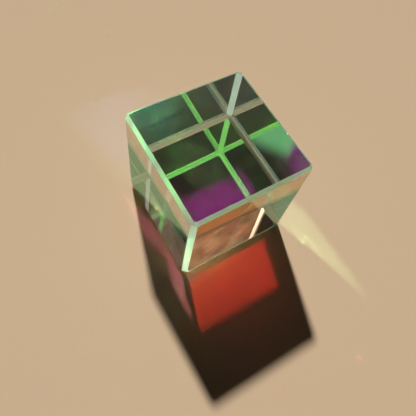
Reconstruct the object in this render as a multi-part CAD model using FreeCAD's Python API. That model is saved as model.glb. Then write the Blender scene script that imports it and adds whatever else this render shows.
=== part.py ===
import FreeCAD, Part
import math
import os

# A solid cube of optical glass that lies on one face and mixes colours in the light that crosses it.
# All six sides are flat and polished, all twelve edges carry a ground bevel, and each corner ends in
# a small ground flat. Five sides carry a thin colour coat, and the top is bare glass.
# Millimetres, +Z up. The origin is the centre of the face that it lies on.

# Glass block
BLOCK_SIDE = 25.0        # from one polished side to the opposite one
BEVEL_LEG = 0.9          # bevels of the base and of the upright edges, measured along a side
TOP_BEVEL_LEG = 0.65     # bevels round the top, which are narrower
CORNER_FLAT = 0.5        # side of the small triangle ground on each corner

# Colour coats
COAT_THICKNESS = 0.02    # height of a coat above the glass

# Directions that the coated sides face
LEFT = FreeCAD.Vector(-1, 0, 0)
RIGHT = FreeCAD.Vector(1, 0, 0)
FRONT = FreeCAD.Vector(0, -1, 0)
BACK = FreeCAD.Vector(0, 1, 0)
DOWN = FreeCAD.Vector(0, 0, -1)
UP = FreeCAD.Vector(0, 0, 1)

COATS = {
    "cyan_coat_left": LEFT,
    "cyan_coat_right": RIGHT,
    "magenta_coat_front": FRONT,
    "yellow_coat_back": BACK,
    "magenta_coat_base": DOWN,
}

# Worked out from the sizes above
half_side = BLOCK_SIDE / 2
block_centre = FreeCAD.Vector(0, 0, COAT_THICKNESS + half_side)


def sawn_cube():
    """Plain cube about the origin, before its edges are ground."""
    corner = FreeCAD.Vector(-half_side, -half_side, -half_side)
    return Part.makeBox(BLOCK_SIDE, BLOCK_SIDE, BLOCK_SIDE, corner)


def bevel_bar(across, upward, lower_leg, upper_leg):
    """Long bar about the origin whose four flats are the bevels that run along it.

    Each flat slopes at 45 degrees, so the section is a kite. Above and below the origin, two flats
    meet at the block's side less the leg of their bevels.
    """
    lower_point = BLOCK_SIDE - lower_leg
    upper_point = BLOCK_SIDE - upper_leg
    side_point = (upper_point + lower_point) / 2
    side_height = (upper_point - lower_point) / 2
    corners = [(0, -lower_point), (side_point, side_height), (0, upper_point), (-side_point, side_height)]
    points = [across * width + upward * height for width, height in corners]
    section = Part.Face(Part.makePolygon(points + points[:1]))
    half_length = across.cross(upward) * BLOCK_SIDE
    section.translate(-half_length)
    return section.extrude(half_length * 2)


def bevel_flats():
    """Solid about the origin that the flats of all twelve bevels bound."""
    along_x = bevel_bar(FRONT, UP, BEVEL_LEG, TOP_BEVEL_LEG)
    along_y = bevel_bar(RIGHT, UP, BEVEL_LEG, TOP_BEVEL_LEG)
    along_z = bevel_bar(RIGHT, BACK, BEVEL_LEG, BEVEL_LEG)
    return along_x.common(along_y).common(along_z)


def corner_flats():
    """Octahedron whose sides are the flats on the block's corners.

    Three bevels meet where the distances along the axes add up to one and a half sides, less half
    an upright bevel's leg, and less the leg of the bevels round the top or base. A flat of a given
    side lies below that point by the side over twice the root of six.
    """
    flat_depth = CORNER_FLAT / (2 * math.sqrt(6))
    corner_reach = 3 * half_side - BEVEL_LEG / 2 - math.sqrt(3) * flat_depth
    top_reach = corner_reach - TOP_BEVEL_LEG
    base_reach = corner_reach - BEVEL_LEG
    reach = (top_reach + base_reach) / 2
    lift = (top_reach - base_reach) / 2
    faces = []
    for x_sign in (-1, 1):
        for y_sign in (-1, 1):
            for z_sign in (-1, 1):
                x_point = FreeCAD.Vector(x_sign * reach, 0, lift)
                y_point = FreeCAD.Vector(0, y_sign * reach, lift)
                z_point = FreeCAD.Vector(0, 0, z_sign * reach + lift)
                outline = Part.makePolygon([x_point, y_point, z_point, x_point])
                faces.append(Part.Face(outline))
    return Part.Solid(Part.Shell(faces))


def glass_block():
    """Cube with its edges ground to bevels and its corners to small flats."""
    block = sawn_cube().common(bevel_flats()).common(corner_flats())
    block.translate(block_centre)
    return block


def colour_coat(direction):
    """Coat on the polished pane that faces a direction.

    It covers the pane up to the bevels, and its rim slopes in line with them, because the bevels
    are ground through glass and coat together.
    """
    raised = sawn_cube()
    raised.translate(direction * COAT_THICKNESS)
    coat = raised.cut(sawn_cube()).common(bevel_flats())
    coat.translate(block_centre)
    return coat


def main():
    """Write one file for the block and one for each coat."""
    os.makedirs("parts", exist_ok=True)
    shapes = {"glass_block": glass_block()}
    for name, direction in COATS.items():
        shapes[name] = colour_coat(direction)
    for name, shape in shapes.items():
        shape.exportStep("parts/" + name + ".step")
        print(name, "volume", round(shape.Volume, 4), "valid", shape.isValid())


main()
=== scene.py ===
import logging
import math
from dataclasses import dataclass
from enum import Enum
from typing import ClassVar, Optional, Union

import bpy
import numpy as np
from mathutils import Euler, Matrix, Vector


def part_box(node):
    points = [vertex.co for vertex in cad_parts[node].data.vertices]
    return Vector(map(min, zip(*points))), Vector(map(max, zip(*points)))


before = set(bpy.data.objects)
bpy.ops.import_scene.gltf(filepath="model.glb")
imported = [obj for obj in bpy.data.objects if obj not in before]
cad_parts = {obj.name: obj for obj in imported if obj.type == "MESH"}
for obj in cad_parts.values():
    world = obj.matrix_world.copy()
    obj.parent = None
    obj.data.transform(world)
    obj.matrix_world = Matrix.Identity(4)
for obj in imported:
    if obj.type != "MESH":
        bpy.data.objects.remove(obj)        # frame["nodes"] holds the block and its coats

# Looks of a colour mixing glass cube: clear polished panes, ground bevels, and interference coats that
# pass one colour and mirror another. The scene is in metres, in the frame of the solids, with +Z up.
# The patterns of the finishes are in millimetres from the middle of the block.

Colour = tuple[float, float, float]
Band = tuple[float, float]            # the values at which something starts and at which it is full
Key = Union[int, str]                 # number or name of an input or output of a node
Operand = Union["Value", float]
Settings = dict[str, object]
Inputs = dict[Key, object]

log = logging.getLogger("colour_cube")

MM = 0.001                            # one millimetre in metres
GLASS_IOR = 1.517                     # borosilicate crown glass
WHITE = (1.0, 1.0, 1.0)
NOISE_MIDDLE = 0.5                    # middle value of a noise
MIX_FIRST, MIX_SECOND = 6, 7          # inputs of a Mix node that take its two colours
MIX_RESULT = 2                        # its output for the mixed colour
BLOCK_NODE = "glass_block"


class Side(Enum):
    """The sides of the cube, each with its axis and the sign along it."""

    LEFT = (0, -1)
    RIGHT = (0, 1)
    FRONT = (1, -1)
    BACK = (1, 1)
    BASE = (2, -1)
    TOP = (2, 1)

    @property
    def axis(self) -> int:
        """Number of the axis that the side faces along."""
        return self.value[0]

    @property
    def sign(self) -> int:
        """Direction that the side faces along its axis."""
        return self.value[1]


class Value:
    """A number, colour or shader that a node puts out, so that shader maths reads as plain expressions."""

    def __init__(self, sheet: "NodeSheet", maker: bpy.types.Node, output: Key) -> None:
        """Wraps an output socket of a node.

        Args:
            sheet: the sheet that the node is on.
            maker: the node.
            output: number or name of the output.
        """
        self.sheet = sheet
        self.maker = maker
        self.output = output

    @property
    def socket(self) -> bpy.types.NodeSocket:
        """The output's socket."""
        return self.maker.outputs[self.output]

    def also(self, output: Key) -> "Value":
        """Another output of the same node."""
        return Value(self.sheet, self.maker, output)

    def __add__(self, other: Operand) -> "Value":
        """This value plus another."""
        return self.sheet.maths("ADD", self, other)

    def __radd__(self, other: Operand) -> "Value":
        """Another value plus this one."""
        return self.sheet.maths("ADD", other, self)

    def __sub__(self, other: Operand) -> "Value":
        """This value less another."""
        return self.sheet.maths("SUBTRACT", self, other)

    def __rsub__(self, other: Operand) -> "Value":
        """Another value less this one."""
        return self.sheet.maths("SUBTRACT", other, self)

    def __mul__(self, other: Operand) -> "Value":
        """This value times another."""
        return self.sheet.maths("MULTIPLY", self, other)

    def __rmul__(self, other: Operand) -> "Value":
        """Another value times this one."""
        return self.sheet.maths("MULTIPLY", other, self)

    def __truediv__(self, other: Operand) -> "Value":
        """This value over another."""
        return self.sheet.maths("DIVIDE", self, other)

    def __rtruediv__(self, other: Operand) -> "Value":
        """Another value over this one."""
        return self.sheet.maths("DIVIDE", other, self)

    def __abs__(self) -> "Value":
        """Size of this value."""
        return self.sheet.maths("ABSOLUTE", self)

    def __lt__(self, other: Operand) -> "Value":
        """1 where this value is less than another, else 0."""
        return self.sheet.maths("LESS_THAN", self, other)

    def __gt__(self, other: Operand) -> "Value":
        """1 where this value is more than another, else 0."""
        return self.sheet.maths("GREATER_THAN", self, other)

    def sine(self) -> "Value":
        """Sine of this value."""
        return self.sheet.maths("SINE", self)

    def root(self) -> "Value":
        """Square root of this value."""
        return self.sheet.maths("SQRT", self)

    def at_least(self, other: Operand) -> "Value":
        """The larger of this value and another."""
        return self.sheet.maths("MAXIMUM", self, other)

    def at_most(self, other: Operand) -> "Value":
        """The smaller of this value and another."""
        return self.sheet.maths("MINIMUM", self, other)

    def smooth(self, start: float, end: float) -> "Value":
        """Rises from 0 to 1 along an S: three times the square of the share of the way, less twice its cube.

        Args:
            start: value at which the result is 0.
            end: value at which it is 1, which may be lower.

        Returns:
            The result, which stays at 0 or 1 outside them.
        """
        if start > end:
            return 1 - self.smooth(end, start)
        return self.sheet.node("ShaderNodeMapRange", {"interpolation_type": "SMOOTHSTEP"},
                               {"Value": self, "From Min": start, "From Max": end})


class NodeSheet:
    """The nodes of one material or of the world."""

    def __init__(self, tree: bpy.types.NodeTree) -> None:
        """Takes a node tree and empties it."""
        tree.nodes.clear()
        self.tree = tree

    @classmethod
    def for_material(cls, name: str) -> tuple[bpy.types.Material, "NodeSheet"]:
        """Makes a material.

        Args:
            name: the material's name.

        Returns:
            The material and its empty sheet.
        """
        material = bpy.data.materials.new(name)
        material.use_nodes = True
        return material, cls(material.node_tree)

    def node(self, kind: str, settings: Optional[Settings] = None, values: Optional[Inputs] = None,
             output: Key = 0) -> Value:
        """Adds a node.

        Args:
            kind: the node's type.
            settings: its own settings, set before its inputs.
            values: for each input, a Value to link, or a number, vector or colour to set.
            output: the output to hand back.

        Returns:
            The chosen output.
        """
        made = self.tree.nodes.new(kind)
        for name, setting in (settings or {}).items():
            setattr(made, name, setting)
        for key, value in (values or {}).items():
            if isinstance(value, Value):
                self.tree.links.new(value.socket, made.inputs[key])
            elif made.inputs[key].type == "RGBA":
                made.inputs[key].default_value = (*value, 1.0)
            else:
                made.inputs[key].default_value = value
        return Value(self, made, output)

    def maths(self, operation: str, *operands: Operand) -> Value:
        """Adds a Math node with one operation on its operands."""
        return self.node("ShaderNodeMath", {"operation": operation}, dict(enumerate(operands)))

    def mixed(self, factor: Operand, first: Value, second: Value) -> Value:
        """The first shader where the factor is 0, the second where it is 1."""
        return self.node("ShaderNodeMixShader", values={0: factor, 1: first, 2: second})

    def added(self, first: Value, second: Value) -> Value:
        """Both shaders together."""
        return self.node("ShaderNodeAddShader", values={0: first, 1: second})

    def clear(self) -> Value:
        """Lets light pass straight through."""
        return self.node("ShaderNodeBsdfTransparent", values={"Color": WHITE})

    def glass(self, colour: Colour, blur: float) -> Value:
        """Bends and mirrors light as glass does."""
        return self.node("ShaderNodeBsdfGlass",
                         values={"Color": colour, "Roughness": blur, "IOR": GLASS_IOR})

    def window(self, colour: Colour, blur: float) -> Value:
        """Bends light as glass does, and mirrors none."""
        return self.node("ShaderNodeBsdfRefraction",
                         values={"Color": colour, "Roughness": blur, "IOR": GLASS_IOR})

    def mirror(self, colour: Colour, blur: float) -> Value:
        """Mirrors light, and lets none through."""
        return self.node("ShaderNodeBsdfGlossy", values={"Color": colour, "Roughness": blur})

    def matt(self, colour: Colour) -> Value:
        """Scatters light back."""
        return self.node("ShaderNodeBsdfDiffuse", values={"Color": colour})

    def scattering(self, colour: Colour, sent_on: float) -> Value:
        """Scatters light both ways.

        Args:
            colour: colour of what is scattered.
            sent_on: share of it that goes on through the surface. The rest is sent back.

        Returns:
            The shader.
        """
        onward = self.node("ShaderNodeBsdfTranslucent", values={"Color": colour})
        return self.mixed(sent_on, self.matt(colour), onward)

    def from_inside(self) -> Value:
        """1 where the surface is seen or lit from inside the solid, 0 from outside."""
        return self.node("ShaderNodeNewGeometry", output="Backfacing")

    def surface(self, shader: Value) -> None:
        """Ends a material with its surface shader."""
        self.node("ShaderNodeOutputMaterial", values={"Surface": shader})


@dataclass(frozen=True)
class Grain:
    """Fineness of a noise.

    Attributes:
        scale: its waves to the millimetre.
        detail: number of finer layers in it.
    """

    scale: float
    detail: float = 2.0


@dataclass(frozen=True)
class Block:
    """Place and size of the glass block, in millimetres.

    Attributes:
        centre: middle of the block, in metres.
        half: half a side.
        leg: what a bevel of the base or of an upright edge takes from each pane beside it.
        top_leg: the same for the bevels round the top.
    """

    centre: Vector
    half: float
    leg: float
    top_leg: float

    @classmethod
    def from_frame(cls) -> "Block":
        """Measures the block, and two coats for the bevels, because a coat covers its pane up to them.

        Returns:
            The block's place and size.
        """
        low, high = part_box(BLOCK_NODE)
        base_low, base_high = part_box("magenta_coat_base")
        front_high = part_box("magenta_coat_front")[1]
        half = (high.x - low.x) / 2 / MM
        pane_half = (base_high.x - base_low.x) / 2 / MM
        return cls((low + high) / 2, half, half - pane_half, (high.z - front_high.z) / MM)


class CubePoint:
    """Where a point of the surface lies on the cube, in millimetres from the block's middle."""

    PANE_DEPTH = 0.01         # a point of the block no further than this under a side lies on its pane
    RAGGED_GRAIN = Grain(6.0)
    RAGGED_DEPTH = 0.035      # depth of the ragged line between a bevel and its pane
    CHIP_GRAIN = Grain(1.1, 3.0)
    CHIP_BAND = (0.60, 0.80)  # noise at which a chip starts and at which it is deepest
    CHIP_DEPTH = 0.16         # how far the largest chips reach into a pane
    WORN_BAND = (2.0, 1.5)    # heights above the base between which the wear of the lower front edge grows
    WORN_DEPTH = 0.22         # how far that edge is worn into its pane
    RIM = 0.02                # half the width over which ground glass gives way to polished

    def __init__(self, sheet: NodeSheet, block: Block) -> None:
        """Reads the point in object coordinates.

        Args:
            sheet: the material's sheet.
            block: the glass block.
        """
        self.sheet = sheet
        self.block = block
        place = sheet.node("ShaderNodeTexCoord", output="Object")
        from_centre = sheet.node("ShaderNodeVectorMath", {"operation": "SUBTRACT"},
                                 {0: place, 1: tuple(block.centre)})
        self.point = sheet.node("ShaderNodeVectorMath", {"operation": "SCALE"},
                                {0: from_centre, "Scale": 1 / MM})
        self.x = sheet.node("ShaderNodeSeparateXYZ", values={0: self.point})
        self.y = self.x.also("Y")
        self.z = self.x.also("Z")

    def along(self, side: Side) -> Value:
        """Distance from the middle towards a side."""
        return (self.x, self.y, self.z)[side.axis] * side.sign

    def on_pane(self, side: Side) -> Value:
        """1 on the pane of the block that faces towards a side, 0 elsewhere."""
        return self.along(side) > self.block.half - self.PANE_DEPTH

    def on_side(self, side: Side) -> tuple[Value, Value]:
        """Place on a side: along the first and the second of the axes that run in its plane."""
        across, up = [part for axis, part in enumerate((self.x, self.y, self.z)) if axis != side.axis]
        return across, up

    def noise(self, grain: Grain) -> Value:
        """Noise from 0 to 1."""
        return self.sheet.node("ShaderNodeTexNoise",
                               values={"Vector": self.point, "Scale": grain.scale, "Detail": grain.detail})

    def to_bevel(self) -> Value:
        """Distance on a pane to the nearest bevel.

        A bevel starts where the smaller of two distances from the middle reaches half a side less the
        bevel's leg.

        Returns:
            The distance, which is below 0 on the bevels and corner flats.
        """
        x, y, z = abs(self.x), abs(self.y), abs(self.z)
        level_leg = self.block.leg + (self.z > 0.0) * (self.block.top_leg - self.block.leg)
        to_upright = (self.block.half - self.block.leg) - x.at_most(y)
        to_level = self.block.half - level_leg - z.at_most(x.at_least(y))
        return to_upright.at_most(to_level)

    def ground(self) -> Value:
        """Where the glass is ground: the distance to the bevel is less than the depth of the wear.

        That depth is a ragged line, chips here and there, and the lower front edge worn all along.

        Returns:
            1 on the bevels and in the wear along them, 0 on the polished panes.
        """
        ragged = self.noise(self.RAGGED_GRAIN) * self.RAGGED_DEPTH
        chips = self.noise(self.CHIP_GRAIN).smooth(*self.CHIP_BAND) * self.CHIP_DEPTH
        start, full = (self.block.half - height for height in self.WORN_BAND)
        worn = self.on_pane(Side.FRONT) * self.along(Side.BASE).smooth(start, full) * self.WORN_DEPTH
        return (self.to_bevel() - ragged - chips - worn).smooth(self.RIM, -self.RIM)


@dataclass(frozen=True)
class Grind:
    """How glass ground with fine grit takes light.

    Attributes:
        glass: colour of the blurred light that goes on or is mirrored.
        tint: colour of the light that the grit scatters.
        haze: share of the light that is scattered where the grit is average. Over 1, most places
            scatter all of it.
        sent_on: share of that which goes on through the surface. The rest is sent back.
    """

    glass: Colour
    tint: Colour
    haze: float
    sent_on: float

    BLUR: ClassVar[float] = 0.50
    GRIT_GRAIN: ClassVar[Grain] = Grain(14.0, 3.0)
    GRIT_SPREAD: ClassVar[float] = 0.5       # how much the noise of the grit moves the haze

    def shader(self, place: CubePoint) -> Value:
        """Blurred glass mixed with scattering grit.

        Args:
            place: the point on the cube.

        Returns:
            The shader.
        """
        sheet = place.sheet
        grit = place.noise(self.GRIT_GRAIN) - NOISE_MIDDLE
        return sheet.mixed(self.haze + grit * self.GRIT_SPREAD,
                           sheet.glass(self.glass, self.BLUR), sheet.scattering(self.tint, self.sent_on))


@dataclass(frozen=True)
class GroundGlass:
    """The finish of the ground bevels. Round the base they are darker, which is painted shade, and gold from
    outside, which is a painted reflection of the coloured light on the floor.

    Attributes:
        outer: the upright bevels and those round the top, from outside.
        inner: the same bevels, through the glass.
        base_outer_painted_reflection: the bevels round the base, from outside, in a gold tint that paints the
            reflection of the coloured light on the floor.
        base_inner_painted_shade: the same, through the glass, darkened with painted shade.
    """

    # The mint tints here are partly the glass's own faint green and partly painted green light from inside
    # the cube.
    outer: Grind = Grind(glass=(0.85, 1.0, 0.90), tint=(0.74, 1.0, 1.0), haze=1.10, sent_on=1.0)
    inner: Grind = Grind(glass=(0.95, 1.0, 1.0), tint=(0.62, 1.0, 0.86), haze=0.28, sent_on=0.85)
    # Painted reflection: the gold tint stands in for the coloured light on the floor beside the base.
    base_outer_painted_reflection: Grind = Grind(glass=(0.70, 0.55, 0.30), tint=(0.80, 0.52, 0.16), haze=0.60, sent_on=0.25)
    # Painted shade: darker than the bevels above, for the shade round the base.
    base_inner_painted_shade: Grind = Grind(glass=(0.52, 0.62, 0.58), tint=(0.30, 0.60, 0.55), haze=0.15, sent_on=0.20)

    def shader(self, place: CubePoint) -> Value:
        """The base's finishes, with their painted shade and painted reflection, below the line where the
        upright bevels start, the others above it.

        Args:
            place: the point on the cube.

        Returns:
            The shader.
        """
        sheet = place.sheet
        inside = sheet.from_inside()
        upper = sheet.mixed(inside, self.outer.shader(place), self.inner.shader(place))
        base = sheet.mixed(inside, self.base_outer_painted_reflection.shader(place), self.base_inner_painted_shade.shader(place))
        on_base = place.along(Side.BASE) > place.block.half - place.block.leg
        return sheet.mixed(on_base, upper, base)


@dataclass(frozen=True)
class Mark:
    """An oval mark of handling on one side, plain or with the curved ridges of a finger.

    Attributes:
        middle: its middle on the side, in millimetres from the side's own middle.
        reach: half its length and half its width.
        turn: degrees from the side's first axis to its length.
        share: share of the light that it scatters where it is thickest.
        core: centre of its ridges, or None where it is plain.
    """

    middle: tuple[float, float]
    reach: tuple[float, float]
    turn: float
    share: float
    core: Optional[tuple[float, float]] = None

    OVAL_BAND: ClassVar[Band] = (1.0, 0.4)       # squared distances, where the oval's own rim is at 1
    RIM_GRAIN: ClassVar[Grain] = Grain(0.9, 3.0)
    RIM_SPREAD: ClassVar[float] = 1.2            # how much the noise moves the rim, in and out together
    RIDGE_PITCH: ClassVar[float] = 0.46
    RIDGE_BAND: ClassVar[Band] = (-0.4, 0.9)     # sines of the ridges' wave
    RIDGE_GRAIN: ClassVar[Grain] = Grain(0.35, 0.0)
    RIDGE_DRIFT: ClassVar[float] = 1.5           # how far the ridges stray from circles

    def thickness(self, place: CubePoint, side: Side) -> Value:
        """The oval fades at an uneven rim, and its ridges are waves in the distance from the core.

        Args:
            place: the point on the cube.
            side: the side that carries the mark.

        Returns:
            The share of light that is scattered at the point.
        """
        across, up = place.on_side(side)
        cosine, sine = math.cos(math.radians(self.turn)), math.sin(math.radians(self.turn))
        from_middle, above_middle = across - self.middle[0], up - self.middle[1]
        along = (from_middle * cosine + above_middle * sine) * (1 / self.reach[0])
        aside = (above_middle * cosine - from_middle * sine) * (1 / self.reach[1])
        uneven = place.noise(self.RIM_GRAIN) * self.RIM_SPREAD - self.RIM_SPREAD * NOISE_MIDDLE
        oval = (along * along + aside * aside + uneven).smooth(*self.OVAL_BAND) * self.share
        if self.core is None:
            return oval
        core_x, core_y = across - self.core[0], up - self.core[1]
        drift = place.noise(self.RIDGE_GRAIN) * self.RIDGE_DRIFT
        radius = (core_x * core_x + core_y * core_y).root() + drift
        return oval * (radius * (2 * math.pi / self.RIDGE_PITCH)).sine().smooth(*self.RIDGE_BAND)


@dataclass(frozen=True)
class Handling:
    """The marks and dust on one side.

    Attributes:
        marks: the marks.
        tint: colour of what they scatter.
        sent_on: share of that which goes on through the side.
    """

    marks: tuple[Mark, ...]
    tint: Colour
    sent_on: float

    DUST_GRAIN: ClassVar[Grain] = Grain(2.6, 0.0)
    DUST_BAND: ClassVar[Band] = (0.80, 0.86)     # so high in the noise that only specks are left
    DUST_SHARE: ClassVar[float] = 0.25           # share of the light that a speck scatters

    def over(self, place: CubePoint, side: Side, clean: Value) -> Value:
        """Lays the marks and a few specks of dust over a clean finish.

        Args:
            place: the point on the cube.
            side: the side.
            clean: the finish under them.

        Returns:
            The shader.
        """
        soiled = place.noise(self.DUST_GRAIN).smooth(*self.DUST_BAND) * self.DUST_SHARE
        for mark in self.marks:
            soiled = soiled + mark.thickness(place, side)
        grease = place.sheet.scattering(self.tint, self.sent_on)
        return place.sheet.mixed(soiled.at_most(1.0), clean, grease)


@dataclass(frozen=True)
class PolishedGlass:
    """Clear polished glass.

    Attributes:
        tint: faint colour of the glass.
    """

    tint: Colour = (0.985, 1.0, 0.99)

    def shader(self, sheet: NodeSheet) -> Value:
        """Smooth refracting glass."""
        return sheet.glass(self.tint, 0.0)


@dataclass(frozen=True)
class BandColour:
    """What a film does to light of one slant.

    Attributes:
        passes: colour of the light that it lets through.
        mirrors: colour of the light that it sends back.
    """

    passes: Colour
    mirrors: Colour

    def shader(self, sheet: NodeSheet, blur: float) -> Value:
        """A mirror of one colour and clear glass of the other, together."""
        return sheet.added(sheet.mirror(self.mirrors, blur), sheet.window(self.passes, blur))


@dataclass(frozen=True)
class InterferenceFilm:
    """A stack of thin layers whose colour moves towards blue as light falls on it more aslant.

    Attributes:
        straight: colours for light that comes straight on.
        slanting: colours at 42 degrees.
        grazing: colours at 72 degrees.
    """

    straight: BandColour
    slanting: BandColour
    grazing: BandColour

    SLANT_COSINE: ClassVar[float] = math.cos(math.radians(42))
    GRAZE_COSINE: ClassVar[float] = math.cos(math.radians(72))
    MIRROR_COSINE: ClassVar[float] = 0.17    # below this cosine the film turns into a plain mirror
    EVEN_BLEND: ClassVar[float] = 0.5        # with it, Layer Weight's Facing is 1 less the cosine

    def air_cosine(self, sheet: NodeSheet) -> Value:
        """Cosine of the light's slant in air, on either side of the film.

        Inside the glass it follows from the law of refraction: the square of the sine in air is the
        square of the sine in the glass times that of the refractive index. Where that is over 1, no
        light leaves, the cosine is 0 and the film is a full mirror.

        Args:
            sheet: the material's sheet.

        Returns:
            The cosine.
        """
        cosine = 1 - sheet.node("ShaderNodeLayerWeight", values={"Blend": self.EVEN_BLEND}, output="Facing")
        bending = 1 + sheet.from_inside() * (GLASS_IOR ** 2 - 1)
        return (1 - bending * (1 - cosine * cosine)).at_least(0.0).root()

    def shader(self, sheet: NodeSheet, cosine: Value, blur: float) -> Value:
        """Blends the colours of the three slants, and a full mirror at the last few degrees.

        Args:
            sheet: the material's sheet.
            cosine: the air cosine.
            blur: roughness of what is passed and mirrored.

        Returns:
            The shader.
        """
        steep = sheet.mixed(cosine.smooth(1.0, self.SLANT_COSINE),
                            self.straight.shader(sheet, blur), self.slanting.shader(sheet, blur))
        film = sheet.mixed(cosine.smooth(self.SLANT_COSINE, self.GRAZE_COSINE),
                           steep, self.grazing.shader(sheet, blur))
        return sheet.mixed(cosine.smooth(self.MIRROR_COSINE, 0.0), film, sheet.mirror(WHITE, blur))


@dataclass(frozen=True)
class Smears:
    """Finger grease on a coated side, which blurs some of the light that crosses it.

    Attributes:
        least: share of the light that it blurs where the side is cleanest.
        most: share where it is thickest.
        blur: roughness of that light.
    """

    least: float
    most: float
    blur: float

    PATCH_GRAIN: ClassVar[Grain] = Grain(0.16)
    PATCH_BAND: ClassVar[Band] = (0.35, 0.70)
    PATCH_WEIGHT: ClassVar[float] = 0.6
    MOTTLE_GRAIN: ClassVar[Grain] = Grain(2.5, 4.0)
    MOTTLE_BAND: ClassVar[Band] = (0.30, 0.75)
    MOTTLE_WEIGHT: ClassVar[float] = 0.4

    def share(self, place: CubePoint) -> Value:
        """The least share, plus the rest by the weights of soft patches and of finer mottling.

        Args:
            place: the point on the cube.

        Returns:
            Share of the light that is blurred at the point.
        """
        patches = place.noise(self.PATCH_GRAIN).smooth(*self.PATCH_BAND)
        mottling = place.noise(self.MOTTLE_GRAIN).smooth(*self.MOTTLE_BAND)
        thickness = patches * self.PATCH_WEIGHT + mottling * self.MOTTLE_WEIGHT
        return self.least + (self.most - self.least) * thickness


CYAN_FILM = InterferenceFilm(
    straight=BandColour(passes=(0.08, 0.85, 0.95), mirrors=(0.90, 0.13, 0.04)),
    slanting=BandColour(passes=(0.35, 0.55, 0.98), mirrors=(0.63, 0.43, 0.02)),
    grazing=BandColour(passes=(0.66, 0.40, 0.52), mirrors=(0.25, 0.48, 0.33)),
)
MAGENTA_FILM = InterferenceFilm(
    straight=BandColour(passes=(0.93, 0.10, 0.80), mirrors=(0.06, 0.88, 0.19)),
    slanting=BandColour(passes=(0.64, 0.025, 0.10), mirrors=(0.18, 0.88, 0.68)),
    grazing=BandColour(passes=(0.53, 0.31, 0.23), mirrors=(0.22, 0.36, 0.32)),
)
BASE_FILM = InterferenceFilm(
    straight=BandColour(passes=(0.43, 0.06, 0.58), mirrors=(0.32, 0.93, 0.20)),
    slanting=BandColour(passes=(0.37, 0.06, 0.50), mirrors=(0.38, 0.93, 0.24)),
    grazing=BandColour(passes=(0.30, 0.15, 0.20), mirrors=(0.30, 0.55, 0.50)),
)
YELLOW_FILM = InterferenceFilm(
    straight=BandColour(passes=(0.97, 0.93, 0.08), mirrors=(0.02, 0.04, 0.30)),
    slanting=BandColour(passes=(0.97, 0.90, 0.25), mirrors=(0.02, 0.05, 0.25)),
    grazing=BandColour(passes=(0.96, 0.88, 0.55), mirrors=(0.03, 0.08, 0.25)),
)

# A fingerprint, two smudges and a scratch on the top, and smaller marks on the front. The green tint of the
# top's marks is painted green light from inside the cube.
TOP_HANDLING = Handling(marks=(
    Mark(middle=(-5.6, -3.0), reach=(7.0, 4.2), turn=-72.0, share=0.09, core=(-2.5, 1.5)),
    Mark(middle=(-7.5, 9.6), reach=(2.6, 1.1), turn=20.0, share=0.03),
    Mark(middle=(-6.9, 4.9), reach=(1.2, 0.5), turn=30.0, share=0.04),
    Mark(middle=(-10.0, -8.0), reach=(1.9, 0.06), turn=18.0, share=0.30),
), tint=(0.72, 1.0, 0.50), sent_on=0.5)
FRONT_HANDLING = Handling(marks=(
    Mark(middle=(-6.3, 5.1), reach=(1.7, 0.7), turn=12.0, share=0.60, core=(-7.0, 1.0)),
    Mark(middle=(-8.8, 2.2), reach=(1.0, 0.6), turn=12.0, share=0.45, core=(-9.0, -1.0)),
    Mark(middle=(-1.1, 9.2), reach=(1.6, 0.7), turn=60.0, share=0.35),
    Mark(middle=(-1.7, 4.2), reach=(2.4, 0.6), turn=75.0, share=0.25),
    Mark(middle=(-1.9, -0.9), reach=(1.6, 0.6), turn=60.0, share=0.25),
), tint=(1.0, 0.95, 0.75), sent_on=0.8)


def put_material(node: str, material: bpy.types.Material) -> None:
    """Puts a material in every slot of a CAD node.

    Args:
        node: the node's name.
        material: the material.
    """
    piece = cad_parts[node]
    for slot in piece.material_slots:
        slot.material = material
    if not piece.material_slots:
        piece.data.materials.append(material)


@dataclass
class GlassBlock:
    """The block of glass: a bare polished top, panes that carry coats, and ground bevels.

    Attributes:
        block: its place and size.
        handling: the marks on its top.
        glass: finish of the top.
        bevels: finish of the bevels.
    """

    block: Block
    handling: Handling
    glass: PolishedGlass = PolishedGlass()
    bevels: GroundGlass = GroundGlass()

    def dress(self) -> None:
        """Gives the block its finish.

        A coat lies on its pane with no gap, so the light bends at the outer face of the coat, and the
        pane under it lets light straight through.
        """
        material, sheet = NodeSheet.for_material("clear_glass")
        place = CubePoint(sheet, self.block)
        bare = place.on_pane(Side.TOP)
        top = self.handling.over(place, Side.TOP, self.glass.shader(sheet))
        pane = sheet.mixed(bare, sheet.clear(), top)
        ground = place.ground() * (bare + (place.to_bevel() < 0.0)).at_most(1.0)
        sheet.surface(sheet.mixed(ground, pane, self.bevels.shader(place)))
        put_material(BLOCK_NODE, material)


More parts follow.
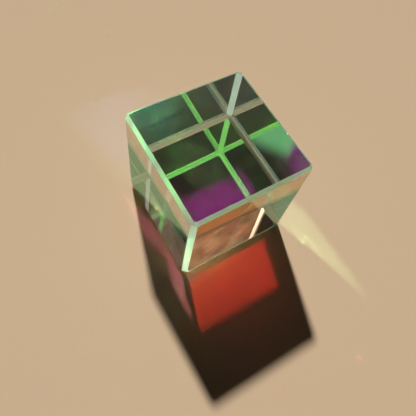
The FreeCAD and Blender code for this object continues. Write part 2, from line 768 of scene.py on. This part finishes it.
@dataclass
class ColourCoat:
    """A coat on one side of the block, which is worn away with the glass where the edge is chipped.

    Attributes:
        node: its CAD node.
        side: the side that it is on.
        film: its colours.
        block: the block's place and size.
        smears: the grease that blurs it, if any.
        handling: the marks on it, if any.
        bevels: finish of the glass where the coat is worn away.
    """

    node: str
    side: Side
    film: InterferenceFilm
    block: Block
    smears: Optional[Smears] = None
    handling: Optional[Handling] = None
    bevels: GroundGlass = GroundGlass()

    FACE_DEPTH: ClassVar[float] = 0.002      # a point no further than this under the outer face lies on it

    def dress(self) -> None:
        """Gives the coat its film on the outer face. Its seat and its thin rim are clear."""
        material, sheet = NodeSheet.for_material(self.node + "_film")
        place = CubePoint(sheet, self.block)
        low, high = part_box(self.node)
        outermost = high if self.side.sign > 0 else low
        reach = (outermost - self.block.centre)[self.side.axis] * self.side.sign / MM
        outer = place.along(self.side) > reach - self.FACE_DEPTH
        cosine = self.film.air_cosine(sheet)
        film = self.film.shader(sheet, cosine, 0.0)
        if self.smears:
            film = sheet.mixed(self.smears.share(place), film,
                               self.film.shader(sheet, cosine, self.smears.blur))
        if self.handling:
            film = self.handling.over(place, self.side, film)
        film = sheet.mixed(place.ground(), film, self.bevels.shader(place))
        sheet.surface(sheet.mixed(outer, sheet.clear(), film))
        put_material(self.node, material)


@dataclass
class Floor:
    """The plain pale floor.

    Attributes:
        radius: its radius in metres.
        drop: how far it lies under the cube, so that the two don't share a plane.
        colour: its colour.
        rings: number of its rings.
        spokes: number of points on a ring.
    """

    radius: float = 2.5
    drop: float = 0.00002
    colour: Colour = (0.56, 0.43, 0.295)
    rings: int = 8
    spokes: int = 96

    def mesh(self) -> bpy.types.Mesh:
        """A disk of rings: each point is the ring's radius times the cosine and sine of its angle.

        Returns:
            The mesh.
        """
        radius = np.linspace(0, self.radius, self.rings + 1)[1:, None]
        angle = np.linspace(0, 2 * math.pi, self.spokes, endpoint=False)[None, :]
        x, y = radius * np.cos(angle), radius * np.sin(angle)
        points = np.stack([x, y, np.full_like(x, -self.drop)], axis=-1).reshape(-1, 3)
        ring, spoke = np.meshgrid(np.arange(self.rings - 1), np.arange(self.spokes), indexing="ij")
        here, beside = ring * self.spokes + spoke, ring * self.spokes + (spoke + 1) % self.spokes
        faces = np.stack([here, here + self.spokes, beside + self.spokes, beside], axis=-1).reshape(-1, 4)
        mesh = bpy.data.meshes.new("floor")
        mesh.from_pydata(points.tolist(), [], faces.tolist() + [list(range(self.spokes))])
        return mesh

    def build(self) -> None:
        """Lays the floor and gives it its colour."""
        floor = bpy.data.objects.new("floor", self.mesh())
        bpy.context.scene.collection.objects.link(floor)
        material, sheet = NodeSheet.for_material("pale_floor")
        sheet.surface(sheet.matt(self.colour))
        floor.data.materials.append(material)


@dataclass(frozen=True)
class KeyLight:
    """A round soft lamp so far off that its rays are nearly parallel.

    Attributes:
        azimuth: degrees from +X towards +Y.
        elevation: degrees above the floor.
        width: its apparent width in degrees.
        level: its share of the light on the floor, where 1 shows a colour as it is written.
        colour: colour of its light.
    """

    azimuth: float = 73.0
    elevation: float = 43.2
    width: float = 3.2
    level: float = 1.0
    colour: Colour = (1.0, 0.95, 0.88)

    def build(self) -> None:
        """Hangs the lamp. The light on the floor is its power times the sine of the elevation over pi."""
        azimuth, elevation = math.radians(self.azimuth), math.radians(self.elevation)
        towards = Vector((math.cos(azimuth) * math.cos(elevation),
                          math.sin(azimuth) * math.cos(elevation), math.sin(elevation)))
        lamp = bpy.data.lights.new("key", "SUN")
        lamp.angle = math.radians(self.width)
        lamp.energy = self.level * math.pi / math.sin(elevation)
        lamp.color = self.colour
        holder = bpy.data.objects.new("key", lamp)
        holder.matrix_world = towards.to_track_quat("Z", "Y").to_matrix().to_4x4()
        bpy.context.scene.collection.objects.link(holder)


@dataclass(frozen=True)
class Panel:
    """A pale panel of the room, which the glass mirrors.

    Attributes:
        azimuth: degrees from +X towards +Y, to its middle.
        half_width: degrees from its middle to its sides.
        low: elevation of its lower edge.
        high: elevation of its upper edge.
        colour: its colour.
        soft: degrees on each side of an edge over which it fades.
    """

    azimuth: float
    half_width: float
    low: float
    high: float
    colour: Colour
    soft: float

    def mask(self, x: Value, y: Value, z: Value) -> Value:
        """Its sides by the cosine of the level angle from its middle, its other edges by the height.

        Args:
            x: first part of a direction of length 1.
            y: second part.
            z: third part.

        Returns:
            1 towards the panel, 0 elsewhere.
        """
        azimuth = math.radians(self.azimuth)
        flat = (x * x + y * y).root()
        along = (x * math.cos(azimuth) + y * math.sin(azimuth)) / flat
        sides = along.smooth(math.cos(math.radians(self.half_width + self.soft)),
                             math.cos(math.radians(self.half_width - self.soft)))
        bottom = z.smooth(math.sin(math.radians(self.low - self.soft)),
                          math.sin(math.radians(self.low + self.soft)))
        top = z.smooth(math.sin(math.radians(self.high + self.soft)),
                       math.sin(math.radians(self.high - self.soft)))
        return sides * bottom * top


@dataclass
class Studio:
    """Plain light: a soft key from behind, and a room with a pale backdrop, a dark ceiling and two panels.

    Attributes:
        backdrop: colour of the backdrop.
        backdrop_top: degrees up to which it has its whole colour.
        ceiling: colour of the ceiling.
        ceiling_low: degrees from which it has its whole colour.
        fill: light that the room throws on what stands in it.
        key: the lamp.
        panels: the panels.
    """

    backdrop: Colour = (0.52, 0.44, 0.35)
    backdrop_top: float = 18.0
    ceiling: Colour = (0.014, 0.014, 0.018)
    ceiling_low: float = 42.0
    fill: Colour = (0.012, 0.014, 0.012)
    key: KeyLight = KeyLight()
    panels: tuple[Panel, ...] = (
        Panel(azimuth=142.3, half_width=5.6, low=30.0, high=52.8, colour=(0.33, 0.42, 0.66), soft=1.2),
        Panel(azimuth=-76.0, half_width=17.0, low=30.0, high=53.6, colour=(0.03, 0.085, 0.26), soft=3.0),
    )

    def build(self) -> None:
        """Makes the room and hangs the key.

        What is seen, mirrored or looked at through glass is the room. What is lit by it gets the fill.
        """
        world = bpy.data.worlds.new("studio")
        bpy.context.scene.world = world
        world.use_nodes = True
        sheet = NodeSheet(world.node_tree)
        direction = sheet.node("ShaderNodeTexCoord", output="Generated")
        x = sheet.node("ShaderNodeSeparateXYZ", values={0: direction})
        y, z = x.also("Y"), x.also("Z")
        upward = z.smooth(math.sin(math.radians(self.backdrop_top)), math.sin(math.radians(self.ceiling_low)))
        shade = self.blend(sheet, upward, self.backdrop, self.ceiling)
        for panel in self.panels:
            shade = self.blend(sheet, panel.mask(x, y, z), shade, panel.colour)
        camera = sheet.node("ShaderNodeLightPath", output="Is Camera Ray")
        seen = (camera + camera.also("Is Glossy Ray") + camera.also("Is Transmission Ray")).at_most(1.0)
        light = self.blend(sheet, seen, self.fill, shade)
        background = sheet.node("ShaderNodeBackground", values={"Color": light})
        sheet.node("ShaderNodeOutputWorld", values={"Surface": background})
        self.key.build()

    @staticmethod
    def blend(sheet: NodeSheet, factor: Value, first: Union[Value, Colour],
              second: Union[Value, Colour]) -> Value:
        """The first colour where the factor is 0, the second where it is 1."""
        return sheet.node("ShaderNodeMix", {"data_type": "RGBA"},
                          {0: factor, MIX_FIRST: first, MIX_SECOND: second}, MIX_RESULT)


@dataclass
class PhotoCamera:
    """The photograph's view, as a camera fit to the cube's corners gave it.

    Attributes:
        block: place and size of the block that it looks at.
        azimuth: degrees that the camera stands round from the front, towards the right.
        elevation: degrees above the floor.
        roll: turn of the picture, in degrees.
        pan: degrees from the middle of the picture to the block's middle, sideways.
        tilt: the same up or down.
        distance: from the block's middle, in sides of the block.
        focal_pixels: focal length in pixels of the picture.
        picture: width of the picture in pixels.
        sensor: width of the sensor in millimetres.
        nearest: nearest distance that it sees, in metres.
    """

    block: Block
    azimuth: float = -42.39
    elevation: float = 58.78
    roll: float = -13.48
    pan: float = 0.63
    tilt: float = -4.34
    distance: float = 3.425
    focal_pixels: float = 422.1
    picture: int = 416
    sensor: float = 36.0
    nearest: float = 0.002

    def build(self) -> None:
        """Sets up the camera: it looks at the block's middle, then is tilted, panned and rolled."""
        data = bpy.data.cameras.new("photo_camera")
        data.sensor_width = self.sensor
        data.lens = self.focal_pixels / self.picture * self.sensor
        data.clip_start = self.nearest
        azimuth, elevation = math.radians(self.azimuth), math.radians(self.elevation)
        back = Vector((math.sin(azimuth) * math.cos(elevation),
                       -math.cos(azimuth) * math.cos(elevation), math.sin(elevation)))
        across = Vector((0, 0, 1)).cross(back).normalized()
        aim = Matrix((across, back.cross(across), back)).transposed()
        pan = Euler((0, math.radians(self.pan), 0)).to_matrix()
        tilt = Euler((-math.radians(self.tilt), 0, 0)).to_matrix()
        roll = Euler((0, 0, math.radians(self.roll))).to_matrix()
        turn = (aim @ pan.inverted() @ tilt.inverted() @ roll.inverted()).to_4x4()
        side = 2 * self.block.half * MM
        camera = bpy.data.objects.new("photo_camera", data)
        camera.matrix_world = Matrix.Translation(self.block.centre + back * self.distance * side) @ turn
        bpy.context.scene.collection.objects.link(camera)
        bpy.context.scene.camera = camera


@dataclass(frozen=True)
class LightPaths:
    """How far light is followed.

    Attributes:
        crossings: times that it may bend or be mirrored, which is often inside the cube.
        scatterings: times that it may be scattered by a matt surface.
        clear_crossings: times that it may pass straight through the panes under the coats.
    """

    crossings: int = 32
    scatterings: int = 4
    clear_crossings: int = 64

    def apply(self) -> None:
        """Sets them. Light that reaches the floor through the cube is sought, and kept sharp and whole."""
        cycles = bpy.context.scene.cycles
        cycles.max_bounces = self.crossings
        cycles.transmission_bounces = self.crossings
        cycles.glossy_bounces = self.crossings
        cycles.diffuse_bounces = self.scatterings
        cycles.transparent_max_bounces = self.clear_crossings
        cycles.sample_clamp_indirect = 0.0
        cycles.blur_glossy = 0.0
        cycles.use_guiding = True


def main() -> None:
    """Dresses the block and its coats, and sets up the studio and the camera."""
    logging.basicConfig(level=logging.INFO, format="%(message)s")
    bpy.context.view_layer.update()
    bpy.context.scene.view_settings.view_transform = "Standard"

    block = Block.from_frame()
    log.info("block: half side %.2f mm, bevel legs %.2f mm, round the top %.2f mm",
             block.half, block.leg, block.top_leg)
    GlassBlock(block, TOP_HANDLING).dress()
    log.info("dressed %s", BLOCK_NODE)
    coats = (
        ColourCoat("cyan_coat_left", Side.LEFT, CYAN_FILM, block),
        ColourCoat("cyan_coat_right", Side.RIGHT, CYAN_FILM, block,
                   Smears(least=0.02, most=0.08, blur=0.55)),
        ColourCoat("magenta_coat_front", Side.FRONT, MAGENTA_FILM, block, handling=FRONT_HANDLING),
        ColourCoat("yellow_coat_back", Side.BACK, YELLOW_FILM, block,
                   Smears(least=0.04, most=0.20, blur=0.55)),
        ColourCoat("magenta_coat_base", Side.BASE, BASE_FILM, block),
    )
    for coat in coats:
        coat.dress()
        log.info("dressed %s", coat.node)

    Floor().build()
    log.info("laid the floor")
    Studio().build()
    log.info("lit the studio")
    PhotoCamera(block).build()
    log.info("placed the camera")
    LightPaths().apply()


if __name__ == "__main__":
    main()
